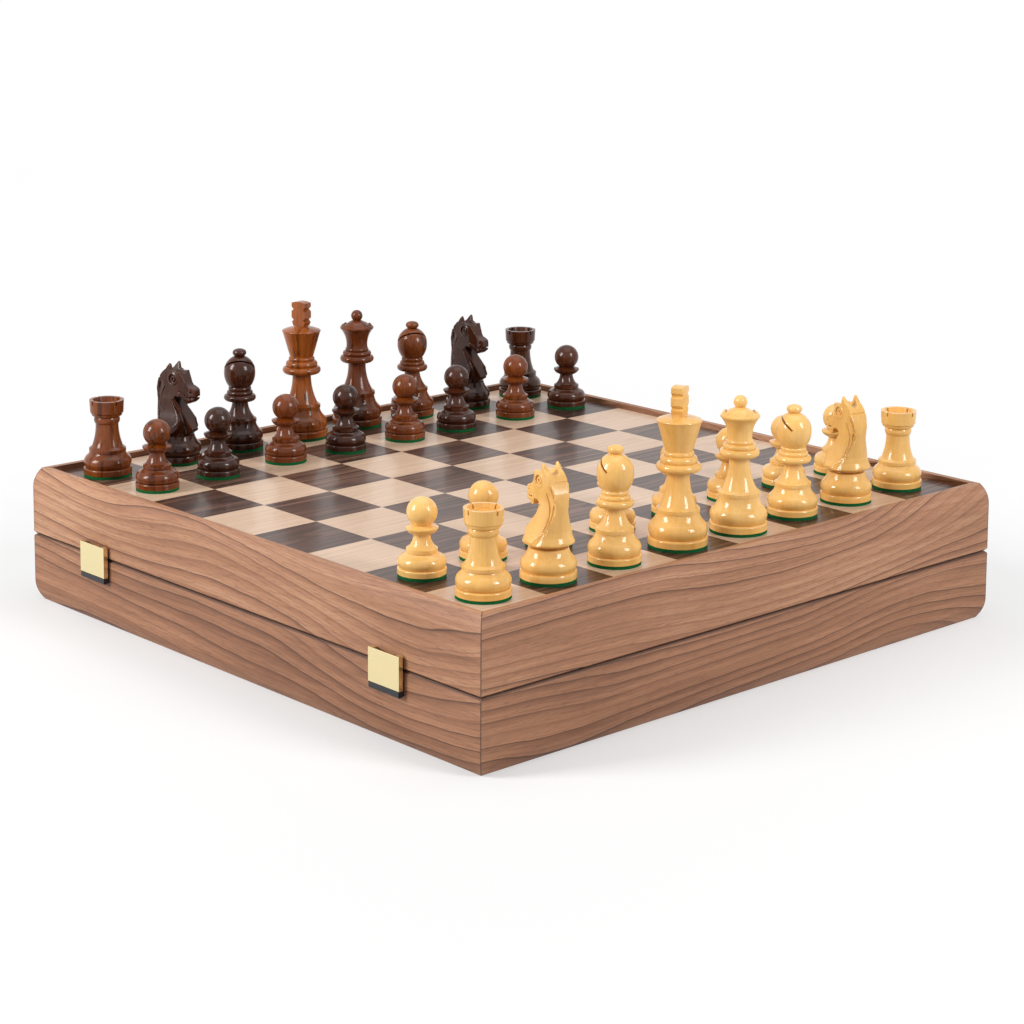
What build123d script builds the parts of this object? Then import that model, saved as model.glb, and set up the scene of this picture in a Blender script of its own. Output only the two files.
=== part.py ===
"""Folding chess case with a full set of chessmen standing on its lid.

Millimetres. The origin is on the table under the middle of the case, +Z is up.
The latched front faces -Y and the hinged back faces +Y.
The boxwood men stand along the +X edge and the rosewood men along the -X edge.
"""

import os
from math import asin, cos, radians, sin, sqrt

from build123d import *

os.makedirs("parts", exist_ok=True)

# ---------------------------------------------------------------- the case
SQUARE = 47.5                 # one square of the board
FILES = 8
CASE = 400.0                  # outside width and depth, over the flat side faces
HALF = CASE / 2
HEIGHT = 81.0                 # both halves together
SEAM = HEIGHT / 2             # the halves are equally tall
SEAM_GAP = 0.4                # thin dark line all round
SEAM_CHAMFER = 1.2
RAIL = 8.0                    # thickness of a side
INNER = HALF - RAIL           # from the middle to the inside face of a side
RIM_DROP = 12.0               # height of the rounding along the top and bottom edges
RIM_INSET = 4.0               # how far the rounding draws the edge in
GROOVE = 3.0                  # depth of the panel grooves in the sides
PANEL_PLAY = 0.2

BOARD_RECESS = 3.0            # the playing surface lies below the rim
VENEER = 0.6
BOARD_PANEL = 3.4
BOARD_TOP = HEIGHT - BOARD_RECESS
PANEL_TOP = BOARD_TOP - VENEER
VENEER_JOINT = 0.06           # glue line between two squares

FLOOR_LIFT = 3.0              # the bottom panel stands clear of the table
FLOOR = 3.0
LINING = 1.0

LOWER_TOP = SEAM - SEAM_GAP / 2
UPPER_BOTTOM = SEAM + SEAM_GAP / 2

# ---------------------------------------------------------------- the back hinges
HINGE_X = 120.0               # middle of each hinge, left and right of the centre
HINGE_LENGTH = 38.0
KNUCKLE_R = 2.4
HINGE_OUT = 1.8               # the pin runs this far behind the back faces
HINGE_Y = HALF + HINGE_OUT
PIN_R = 1.0
PIN_FIT = 0.05
CENTRE_KNUCKLE = 14.0
KNUCKLE_GAP = 0.3
LEAF = 1.0                    # sheet thickness
LEAF_INNER_Y = HALF - 7.6
LEAF_CLEAR = 0.5              # wood is cut back this far round the barrel
SCREW_OFFSET = 12.0
SCREW_Y = HALF - 4.6
SCREW_R = 0.9
SCREW_HEAD_R = 1.8
SCREW_LENGTH = 8.0

# ---------------------------------------------------------------- the two front latches
LATCH_X = 131.5               # middle of each latch, left and right of the centre
LATCH_WIDTH = 24.0
LATCH_TOP = SEAM + 8.0
COVER_BOTTOM = SEAM - 10.0    # lower edge of the brass
LIP_BOTTOM = SEAM - 13.5      # lower edge of the black finger lip
LATCH_DEPTH = 4.2             # the brass stands this far off the side
COVER_WALL = 0.7
PLATE = 1.0                   # black plates against the wood
PLATE_TOP = SEAM + 5.2
PLATE_CLEAR = 0.2             # flap to plate
FLAP_PIN_Y = -HALF - 2.0
FLAP_PIN_Z = SEAM + 6.5
FLAP_PIN_R = 0.6
LUG_R = 1.1
LUG_WEB = 3.0                 # the lugs reach this far down the plate
LUG_IN = 5.5                  # a lug runs from here to LUG_OUT, both sides of the middle
LUG_OUT = 8.0
NOTCH = 8.3                   # half the width of the notch that clears the lugs

# ---------------------------------------------------------------- the chessmen
FELT = 1.8
WHITE_SIDE = 1                # sign of X where the boxwood men stand
BLACK_SIDE = -1
BACK_RANK = ["rook", "knight", "bishop", "king", "queen", "bishop", "knight", "rook"]
# Each man was set down by hand: how far he stands from the middle of his square along X
# and Y, and how many degrees he is turned from facing his opponent.
SET_DOWN = {
    "white_rook_front": (0.6, -2.3, 0),
    "white_knight_front": (0.0, -4.6, -10),
    "white_bishop_front": (0.2, -4.8, 12),
    "white_king": (-1.0, -3.3, 24),
    "white_queen": (-0.2, -3.7, 0),
    "white_bishop_back": (-2.9, -3.4, 30),
    "white_knight_back": (-3.4, -3.9, -12),
    "white_rook_back": (-4.2, -4.4, 0),
    "white_pawn_1": (-0.2, -1.0, 0),
    "white_pawn_2": (-4.0, -2.8, 0),
    "white_pawn_3": (-0.4, -6.2, 0),
    "white_pawn_4": (-0.4, -5.7, 0),
    "white_pawn_5": (-0.7, -4.0, 0),
    "white_pawn_6": (-3.4, -3.0, 0),
    "white_pawn_7": (-4.0, -2.6, 0),
    "white_pawn_8": (-3.5, -4.0, 0),
    "black_rook_front": (0.8, -3.2, 0),
    "black_knight_front": (0.5, 0.0, 14),
    "black_bishop_front": (-2.6, 2.3, -37),
    "black_king": (-1.7, 2.8, -76),
    "black_queen": (-5.3, 3.4, 0),
    "black_bishop_back": (-3.1, 1.0, -27),
    "black_knight_back": (-0.5, 0.5, 4),
    "black_rook_back": (-2.3, 2.4, 0),
    "black_pawn_1": (1.0, -0.6, 0),
    "black_pawn_2": (-2.0, -2.2, 0),
    "black_pawn_3": (-4.4, 2.7, 0),
    "black_pawn_4": (-2.5, 0.6, 0),
    "black_pawn_5": (-2.2, 1.1, 0),
    "black_pawn_6": (-2.6, -2.6, 0),
    "black_pawn_7": (-2.6, 1.6, 0),
    "black_pawn_8": (-4.2, 2.3, 0),
}


def edge_arc_middle():
    """Half way along the rounding, as (inset from the side, distance above its start)."""
    radius = (RIM_INSET**2 + RIM_DROP**2) / (2 * RIM_INSET)
    half_turn = asin(RIM_DROP / radius) / 2
    return radius * (1 - cos(half_turn)), radius * sin(half_turn)


def mitred_rail(start, end, outer_edge, groove_z, groove_height):
    """A side of one half: start is its seam edge, end its rounded edge, along the front."""
    up = 1 if end > start else -1
    inset, rise = edge_arc_middle()
    with BuildPart() as rail:
        with BuildSketch(Plane.YZ):
            with BuildLine():
                Polyline(
                    (-INNER, end),
                    (-INNER, start),
                    (-HALF + SEAM_CHAMFER, start),
                    (-HALF, start + up * SEAM_CHAMFER),
                    (-HALF, outer_edge),
                )
                ThreePointArc(
                    (-HALF, outer_edge),
                    (-HALF + inset, outer_edge + up * rise),
                    (-HALF + RIM_INSET, end),
                )
                Line((-HALF + RIM_INSET, end), (-INNER, end))
            make_face()
            with Locations((-INNER - GROOVE / 2, groove_z)):
                Rectangle(GROOVE, groove_height, mode=Mode.SUBTRACT)
        extrude(amount=HALF, both=True)
        split(bisect_by=Plane((-HALF, -HALF, 0), z_dir=(1, -1, 0)), keep=Keep.TOP)
        split(bisect_by=Plane((HALF, -HALF, 0), z_dir=(-1, -1, 0)), keep=Keep.TOP)
    return rail.part


def hinge_recess(leaf_z):
    """What is cut from a back rail for both hinges: leaf pockets, barrel room, screw holes."""
    with BuildPart() as recess:
        for side in (-1, 1):
            middle = side * HINGE_X
            width = HALF - LEAF_INNER_Y + 1
            with Locations((middle, LEAF_INNER_Y + width / 2, leaf_z)):
                Box(HINGE_LENGTH + 0.3, width, LEAF)
            with Locations((middle, HINGE_Y, SEAM)):
                Cylinder(KNUCKLE_R + LEAF_CLEAR, HINGE_LENGTH + 0.6, rotation=(0, 90, 0))
            for offset in (-SCREW_OFFSET, SCREW_OFFSET):
                with Locations((middle + offset, SCREW_Y, leaf_z)):
                    Cylinder(SCREW_R + 0.05, 2 * SCREW_LENGTH)
    return recess.part


SIDES = {"front": 0, "right": 90, "back": 180, "left": 270}
HALVES = {
    "lower": (LOWER_TOP, 0.0, RIM_DROP, FLOOR_LIFT + FLOOR / 2, FLOOR),
    "upper": (UPPER_BOTTOM, HEIGHT, HEIGHT - RIM_DROP, PANEL_TOP - BOARD_PANEL / 2, BOARD_PANEL),
}
LEAF_Z = {"lower": LOWER_TOP - LEAF / 2, "upper": UPPER_BOTTOM + LEAF / 2}

for half, measures in HALVES.items():
    blank = mitred_rail(*measures)
    for side, turn in SIDES.items():
        with BuildPart() as rail:
            add(blank, rotation=(0, 0, turn))
            if side == "back":
                add(hinge_recess(LEAF_Z[half]), mode=Mode.SUBTRACT)
        rail.part.label = f"{half}_{side}_rail"
        export_step(rail.part, f"parts/{half}_{side}_rail.step")

# The panels float in the grooves of the sides.
panel_width = 2 * (INNER + GROOVE - PANEL_PLAY)

with BuildPart() as bottom_panel:
    with BuildSketch(Plane.XY.offset(FLOOR_LIFT)):
        Rectangle(panel_width, panel_width)
    extrude(amount=FLOOR)
bottom_panel.part.label = "bottom_panel"
export_step(bottom_panel.part, "parts/bottom_panel.step")

with BuildPart() as tray_lining:
    with BuildSketch(Plane.XY.offset(FLOOR_LIFT + FLOOR)):
        RectangleRounded(2 * INNER - 1, 2 * INNER - 1, 2)
    extrude(amount=LINING)
tray_lining.part.label = "tray_lining"
export_step(tray_lining.part, "parts/tray_lining.step")

with BuildPart() as board_panel:
    with BuildSketch(Plane.XY.offset(PANEL_TOP - BOARD_PANEL)):
        Rectangle(panel_width, panel_width)
    extrude(amount=BOARD_PANEL)
board_panel.part.label = "board_panel"
export_step(board_panel.part, "parts/board_panel.step")


def square_centre(column, row):
    """Middle of a square. Column 7 is the boxwood back rank, row 0 lies along the latches."""
    return (column - 3.5) * SQUARE, (row - 3.5) * SQUARE


# The corner nearest the latches on the boxwood side is a light square.
for name, parity in {"light_squares": 1, "dark_squares": 0}.items():
    centres = [
        square_centre(column, row)
        for column in range(FILES)
        for row in range(FILES)
        if (column + row) % 2 == parity
    ]
    with BuildPart() as squares:
        with BuildSketch(Plane.XY.offset(PANEL_TOP)):
            with Locations(*centres):
                Rectangle(SQUARE - VENEER_JOINT, SQUARE - VENEER_JOINT)
        extrude(amount=VENEER)
    squares.part.label = name
    export_step(squares.part, f"parts/{name}.step")


# ---------------------------------------------------------------- hinges
def hinge_leaves(leaf_z, knuckles):
    """Two leaves on one half, one per hinge; knuckles are (from, to) along the barrel."""
    barrel_edge = HINGE_Y - KNUCKLE_R - LEAF_CLEAR
    face_up = leaf_z < SEAM
    hole_z = leaf_z + LEAF / 2 if face_up else leaf_z - LEAF / 2
    with BuildPart() as leaves:
        for side in (-1, 1):
            middle = side * HINGE_X
            with Locations((middle, (LEAF_INNER_Y + barrel_edge) / 2, leaf_z)):
                Box(HINGE_LENGTH, barrel_edge - LEAF_INNER_Y, LEAF)
            for start, end in knuckles:
                centre = middle + (start + end) / 2
                with Locations((centre, (barrel_edge + HINGE_Y) / 2, leaf_z)):
                    Box(end - start, HINGE_Y - barrel_edge, LEAF)
                with Locations((centre, HINGE_Y, SEAM)):
                    Cylinder(KNUCKLE_R, end - start, rotation=(0, 90, 0))
        for side in (-1, 1):
            with Locations((side * HINGE_X, HINGE_Y, SEAM)):
                Cylinder(PIN_R + PIN_FIT, HINGE_LENGTH + 1, rotation=(0, 90, 0), mode=Mode.SUBTRACT)
            for offset in (-SCREW_OFFSET, SCREW_OFFSET):
                place = Plane((side * HINGE_X + offset, SCREW_Y, hole_z), z_dir=(0, 0, 1 if face_up else -1))
                with Locations(place):
                    CounterSinkHole(SCREW_R + PIN_FIT, SCREW_HEAD_R + PIN_FIT, LEAF, 90)
    return leaves.part


outer_start = CENTRE_KNUCKLE / 2 + KNUCKLE_GAP / 2
outer_end = HINGE_LENGTH / 2
centre_end = CENTRE_KNUCKLE / 2 - KNUCKLE_GAP / 2
KNUCKLES = {
    "lower": [(-outer_end, -outer_start), (outer_start, outer_end)],
    "upper": [(-centre_end, centre_end)],
}

for half, knuckles in KNUCKLES.items():
    with BuildPart() as leaves:
        add(hinge_leaves(LEAF_Z[half], knuckles))
    leaves.part.label = f"{half}_hinge_leaves"
    export_step(leaves.part, f"parts/{half}_hinge_leaves.step")

with BuildPart() as hinge_pins:
    for side in (-1, 1):
        with Locations((side * HINGE_X, HINGE_Y, SEAM)):
            Cylinder(PIN_R, HINGE_LENGTH, rotation=(0, 90, 0))
hinge_pins.part.label = "hinge_pins"
export_step(hinge_pins.part, "parts/hinge_pins.step")

# Countersunk screws, heads flush with the leaves and points into the wood.
SCREW_TURN = {"lower": (LOWER_TOP, 180), "upper": (UPPER_BOTTOM, 0)}
for half, (face_z, turn) in SCREW_TURN.items():
    head = SCREW_HEAD_R - SCREW_R
    with BuildPart() as screws:
        for middle in (-HINGE_X, HINGE_X):
            for offset in (-SCREW_OFFSET, SCREW_OFFSET):
                point_at = (middle + offset, SCREW_Y, face_z)
                with BuildSketch(Plane(point_at, x_dir=(1, 0, 0), z_dir=(0, -1, 0))):
                    with BuildLine(Rotation(0, 0, turn)):
                        Polyline(
                            (0, 0),
                            (SCREW_HEAD_R, 0),
                            (SCREW_R, head),
                            (SCREW_R, SCREW_LENGTH - 2),
                            (0, SCREW_LENGTH),
                            close=True,
                        )
                    make_face()
                revolve(axis=Axis((middle + offset, SCREW_Y, 0), (0, 0, 1)))
    screws.part.label = f"{half}_hinge_screws"
    export_step(screws.part, f"parts/{half}_hinge_screws.step")

# ---------------------------------------------------------------- latches
FRONT = -HALF                 # the side face that the latches stand on
COVER_FRONT = FRONT - LATCH_DEPTH
FLAP_BACK = FRONT - PLATE - PLATE_CLEAR
cover_depth = FLAP_BACK - COVER_FRONT

for side_name, side in {"left": -1, "right": 1}.items():
    middle = side * LATCH_X

    # Black plate screwed to the lid, with the two lugs that hold the pin.
    with BuildPart() as latch_base:
        with BuildSketch(Plane.XZ.offset(-FRONT)):
            with Locations((middle, (UPPER_BOTTOM + PLATE_TOP) / 2)):
                RectangleRounded(LATCH_WIDTH - 1, PLATE_TOP - UPPER_BOTTOM, 0.8)
        extrude(amount=PLATE)
        for start in (-LUG_OUT, LUG_IN):
            with BuildSketch(Plane.YZ.offset(middle + start)):
                with Locations(((FRONT + FLAP_PIN_Y) / 2, FLAP_PIN_Z - LUG_WEB / 2)):
                    Rectangle(FRONT - FLAP_PIN_Y, LUG_WEB)
                with Locations((FLAP_PIN_Y, FLAP_PIN_Z)):
                    Circle(LUG_R)
            extrude(amount=LUG_OUT - LUG_IN)
        with Locations((middle, FLAP_PIN_Y, FLAP_PIN_Z)):
            Cylinder(FLAP_PIN_R + PIN_FIT, LATCH_WIDTH, rotation=(0, 90, 0), mode=Mode.SUBTRACT)
    latch_base.part.label = f"latch_{side_name}_base"
    export_step(latch_base.part, f"parts/latch_{side_name}_base.step")

    # Black plate on the lower half, with the groove that the flap snaps against.
    with BuildPart() as latch_keeper:
        with BuildSketch(Plane.XZ.offset(-FRONT)):
            with Locations((middle, (LIP_BOTTOM + LOWER_TOP) / 2)):
                RectangleRounded(LATCH_WIDTH - 1, LOWER_TOP - LIP_BOTTOM, 0.8)
        extrude(amount=PLATE)
        with Locations((middle, FRONT - PLATE, COVER_BOTTOM + 2)):
            Box(LATCH_WIDTH, PLATE, 1.2, mode=Mode.SUBTRACT)
    latch_keeper.part.label = f"latch_{side_name}_keeper"
    export_step(latch_keeper.part, f"parts/latch_{side_name}_keeper.step")

    # Black flap inside the brass; its lower edge is the finger lip.
    with BuildPart() as latch_flap:
        with BuildSketch(Plane.XZ.offset(-FLAP_BACK)):
            with Locations((middle, (LIP_BOTTOM + LATCH_TOP - COVER_WALL) / 2)):
                Rectangle(LATCH_WIDTH - 2 * COVER_WALL, LATCH_TOP - COVER_WALL - LIP_BOTTOM)
        extrude(amount=cover_depth - COVER_WALL)
        lip_depth = cover_depth - 0.2
        with Locations((middle, FLAP_BACK - lip_depth / 2, (LIP_BOTTOM + COVER_BOTTOM) / 2)):
            Box(LATCH_WIDTH - 0.6, lip_depth, COVER_BOTTOM - LIP_BOTTOM)
        chamfer(latch_flap.edges().filter_by(Axis.X).group_by(Axis.Z)[0], 0.6)
        notch_bottom = FLAP_PIN_Z - LUG_WEB - 0.4
        with Locations((middle, FLAP_BACK - cover_depth / 2, (notch_bottom + LATCH_TOP) / 2)):
            Box(2 * NOTCH, cover_depth + 1, LATCH_TOP - notch_bottom, mode=Mode.SUBTRACT)
        with Locations((middle, FLAP_PIN_Y, FLAP_PIN_Z)):
            Cylinder(FLAP_PIN_R + PIN_FIT, LATCH_WIDTH, rotation=(0, 90, 0), mode=Mode.SUBTRACT)
    latch_flap.part.label = f"latch_{side_name}_flap"
    export_step(latch_flap.part, f"parts/latch_{side_name}_flap.step")

    # Brass cap pressed over the flap, open at the back and the bottom.
    with BuildPart() as latch_cover:
        with BuildSketch(Plane.XZ.offset(-FLAP_BACK)):
            with Locations((middle, (COVER_BOTTOM + LATCH_TOP) / 2)):
                Rectangle(LATCH_WIDTH, LATCH_TOP - COVER_BOTTOM)
        extrude(amount=cover_depth)
        chamfer(latch_cover.faces().sort_by(Axis.Y)[0].edges(), 0.25)
        inside_top = LATCH_TOP - COVER_WALL
        with Locations((middle, COVER_FRONT + COVER_WALL, COVER_BOTTOM)):
            Box(
                LATCH_WIDTH - 2 * COVER_WALL,
                LATCH_DEPTH,
                inside_top - COVER_BOTTOM,
                align=(Align.CENTER, Align.MIN, Align.MIN),
                mode=Mode.SUBTRACT,
            )
        with Locations((middle, COVER_FRONT + COVER_WALL, inside_top)):
            Box(
                2 * NOTCH,
                LATCH_DEPTH,
                2 * COVER_WALL,
                align=(Align.CENTER, Align.MIN, Align.CENTER),
                mode=Mode.SUBTRACT,
            )
    latch_cover.part.label = f"latch_{side_name}_cover"
    export_step(latch_cover.part, f"parts/latch_{side_name}_cover.step")

with BuildPart() as latch_pins:
    for side in (-1, 1):
        with Locations((side * LATCH_X, FLAP_PIN_Y, FLAP_PIN_Z)):
            Cylinder(FLAP_PIN_R, LATCH_WIDTH - 2 * COVER_WALL, rotation=(0, 90, 0))
latch_pins.part.label = "latch_pins"
export_step(latch_pins.part, "parts/latch_pins.step")


# ---------------------------------------------------------------- chessmen
def turned_bulb(radius, hollow):
    """Outline lines from the axis to the hollow: plinth with a rounded edge, quirk, bulb and hollow."""
    edge = (radius, FELT + 0.18 * radius)
    quirk = (0.91 * radius, FELT + 0.25 * radius)
    shoulder = (0.86 * radius, 0.85 * radius)
    Polyline((0, FELT), (radius, FELT), edge)
    ThreePointArc(edge, (0.975 * radius, FELT + 0.235 * radius), quirk)
    ThreePointArc(quirk, (0.985 * radius, 0.58 * radius), shoulder)
    RadiusArc(shoulder, hollow, 0.62 * radius)


def turned_foot(radius, ring_radius, ring_z):
    """Outline lines from the axis to the step ring."""
    hollow = (ring_radius - 0.5, ring_z - 1.1)
    turned_bulb(radius, hollow)
    Polyline(hollow, (ring_radius, ring_z - 0.9), (ring_radius, ring_z + 0.9))
    return ring_radius, ring_z + 0.9


def bead(start, radius, end):
    """A half-round turned ring between two radii."""
    ThreePointArc(start, (radius, (start[1] + end[1]) / 2), end)


def cap_arc(start, apex_z):
    """Outline of a shallow dome or bowl, square to the axis at its apex."""
    rise = apex_z - start[1]
    radius = (start[0] ** 2 + rise**2) / (2 * abs(rise))
    half_turn = asin(start[0] / radius) / 2
    sag = radius * (1 - cos(half_turn))
    middle_z = apex_z - sag if rise > 0 else apex_z + sag
    ThreePointArc(start, (radius * sin(half_turn), middle_z), (0, apex_z))


def ball_arc(neck_radius, radius, centre_z):
    """Outline of a ball from its neck to the axis."""
    start = (neck_radius, centre_z - sqrt(radius**2 - neck_radius**2))
    ThreePointArc(start, (radius, centre_z), (0, centre_z + radius))
    return start


def felt_pad(radius):
    with BuildPart() as pad:
        Cylinder(0.985 * radius, FELT, align=(Align.CENTER, Align.CENTER, Align.MIN))
    return pad.part


def make_pawn():
    with BuildPart() as man:
        with BuildSketch(Plane.XZ):
            with BuildLine():
                edge = turned_foot(12.8, 8.2, 14.0)
                stem = (6.7, 15.8)
                Line(edge, stem)
                ThreePointArc(stem, (4.8, 19.2), (4.3, 22.2))
                ThreePointArc((4.3, 22.2), (7.1, 23.3), (8.5, 25.2))
                Line((8.5, 25.2), (8.5, 25.8))
                neck = ball_arc(4.8, 8.0, 33.6)
                Line((8.5, 25.8), neck)
                Line((0, 41.6), (0, FELT))
            make_face()
        revolve(axis=Axis.Z)
        add(felt_pad(12.8))
    return man.part


def make_rook():
    slit = 1.1
    slit_depth = 2.4
    top = 45.8
    with BuildPart() as man:
        with BuildSketch(Plane.XZ):
            with BuildLine():
                edge = turned_foot(14.4, 11.0, 15.7)
                stem = (9.3, 17.9)
                Line(edge, stem)
                ThreePointArc(stem, (7.4, 24.4), (6.8, 31.5))
                bead((6.8, 31.5), 7.7, (7.4, 35.5))
                Polyline((7.4, 35.5), (9.0, 36.6), (9.4, 37.8), (9.9, 38.5), (10.3, top))
                Polyline((10.3, top), (8.2, top), (7.6, 43.0))
                cap_arc((7.6, 43.0), 42.1)
                Line((0, 42.1), (0, FELT))
            make_face()
        revolve(axis=Axis.Z)
        with Locations((0, 0, top)):
            Box(30, slit, 2 * slit_depth, mode=Mode.SUBTRACT)
            Box(slit, 30, 2 * slit_depth, mode=Mode.SUBTRACT)
        add(felt_pad(14.4))
    return man.part


def make_bishop():
    cut_slope = 40.0
    cut_mouth = (6.4, 0, 55.9)
    cut_length = 19.0
    cut_width = 1.2
    with BuildPart() as man:
        with BuildSketch(Plane.XZ):
            with BuildLine():
                edge = turned_foot(14.3, 10.2, 18.1)
                stem = (8.7, 20.1)
                Line(edge, stem)
                ThreePointArc(stem, (6.1, 24.4), (4.9, 29.6))
                Line((4.9, 29.6), (8.2, 30.4))
                bead((8.2, 30.4), 10.0, (7.8, 34.5))
                bead((7.8, 34.5), 8.1, (6.7, 37.0))
                bead((6.7, 37.0), 7.1, (6.7, 39.2))
                ThreePointArc((6.7, 39.2), (9.2, 43.9), (9.7, 49.0))
                ThreePointArc((9.7, 49.0), (7.9, 54.6), (2.8, 58.5))
                bead((2.8, 58.5), 4.3, (2.8, 62.5))
                cap_arc((2.8, 62.5), 63.1)
                Line((0, 63.1), (0, FELT))
            make_face()
        revolve(axis=Axis.Z)
        # The slanting saw cut of the mitre, opening forwards and upwards.
        slope = radians(cut_slope)
        with BuildSketch(Plane(cut_mouth, x_dir=(0, 1, 0), z_dir=(sin(slope), 0, -cos(slope)))):
            Rectangle(30, cut_length)
        extrude(amount=cut_width / 2, both=True, mode=Mode.SUBTRACT)
        add(felt_pad(14.3))
    return man.part


def make_queen():
    scallops = 12
    ball_z = 71.8
    with BuildPart() as man:
        with BuildSketch(Plane.XZ):
            with BuildLine():
                edge = turned_foot(16.0, 11.6, 21.5)
                stem = (9.8, 23.8)
                Line(edge, stem)
                ThreePointArc(stem, (6.6, 31.8), (5.7, 40.7))
                Line((5.7, 40.7), (9.0, 41.7))
                bead((9.0, 41.7), 10.9, (8.7, 46.3))
                bead((8.7, 46.3), 9.2, (7.2, 49.1))
                bead((7.2, 49.1), 7.5, (6.9, 51.2))
                ThreePointArc((6.9, 51.2), (7.5, 58.1), (10.8, 63.8))
                Polyline((10.8, 63.8), (10.8, 64.6), (9.1, 66.5), (8.2, 65.2))
                ball_start = ball_arc(2.5, 3.75, ball_z)
                ThreePointArc((8.2, 65.2), (5.6, 67.4), ball_start)
                Line((0, ball_z + 3.75), (0, FELT))
            make_face()
        revolve(axis=Axis.Z)
        # Scallops filed across the rim of the coronet.
        with PolarLocations(10.6, scallops):
            with Locations((0, 0, 67.3)):
                Cylinder(1.9, 5.0, rotation=(0, 90, 0), mode=Mode.SUBTRACT)
        add(felt_pad(16.0))
    return man.part


def make_king():
    cross_top = 87.2
    cross_foot = 71.7
    cross_depth = 6.4
    notches = (75.6, 82.4)
    with BuildPart() as man:
        with BuildSketch(Plane.XZ):
            with BuildLine():
                edge = turned_foot(16.2, 11.7, 20.2)
                stem = (9.8, 22.5)
                Line(edge, stem)
                ThreePointArc(stem, (7.0, 30.4), (5.9, 40.0))
                Line((5.9, 40.0), (9.9, 41.2))
                bead((9.9, 41.2), 12.1, (9.6, 45.9))
                bead((9.6, 45.9), 10.0, (7.9, 49.7))
                bead((7.9, 49.7), 8.2, (7.4, 52.1))
                Line((7.4, 52.1), (11.9, 67.9))
                bead((11.9, 67.9), 12.2, (11.4, 69.2))
                ThreePointArc((11.4, 69.2), (8.1, 70.4), (4.4, 70.9))
                Polyline((4.4, 70.9), (4.4, 72.0), (0, 72.0), (0, FELT))
            make_face()
        revolve(axis=Axis.Z)
        # The cross: a plate with two V notches on each edge and a cambered top.
        with BuildSketch(Plane.YZ):
            with BuildLine():
                right = Polyline(
                    (0, cross_foot),
                    (3.9, cross_foot),
                    (5.0, notches[0] - 1.3),
                    (3.6, notches[0]),
                    (5.3, notches[0] + 1.4),
                    (5.3, notches[1] - 1.4),
                    (3.6, notches[1]),
                    (5.2, notches[1] + 1.4),
                    (5.2, cross_top - 0.8),
                )
                ThreePointArc(right @ 1, (2.7, cross_top - 0.2), (0, cross_top))
                mirror(about=Plane.YZ)
            make_face()
        extrude(amount=cross_depth / 2, both=True)
        add(felt_pad(16.2))
    return man.part


def chest_cut(foot_top):
    """What is cut from one side of the chest, so that it ends in a wedge."""
    with BuildPart() as cut:
        with BuildSketch(Plane.XZ):
            with BuildLine():
                Spline((-0.4, 39.6), (4.6, 31.4), (6.3, 24.4), (3.9, foot_top - 1))
                Polyline((3.9, foot_top - 1), (21, foot_top - 1), (21, 39.6), (-0.4, 39.6))
            make_face()
        extrude(amount=-20)
        with BuildSketch(Plane.XY.offset(foot_top - 2)):
            with BuildLine():
                Polyline((-6, 12), (-2, 5.2), (14.5, 2.6), (22, 2.6), (22, 20), (-6, 20), close=True)
            make_face()
        extrude(amount=30, mode=Mode.INTERSECT)
    return cut.part


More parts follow.
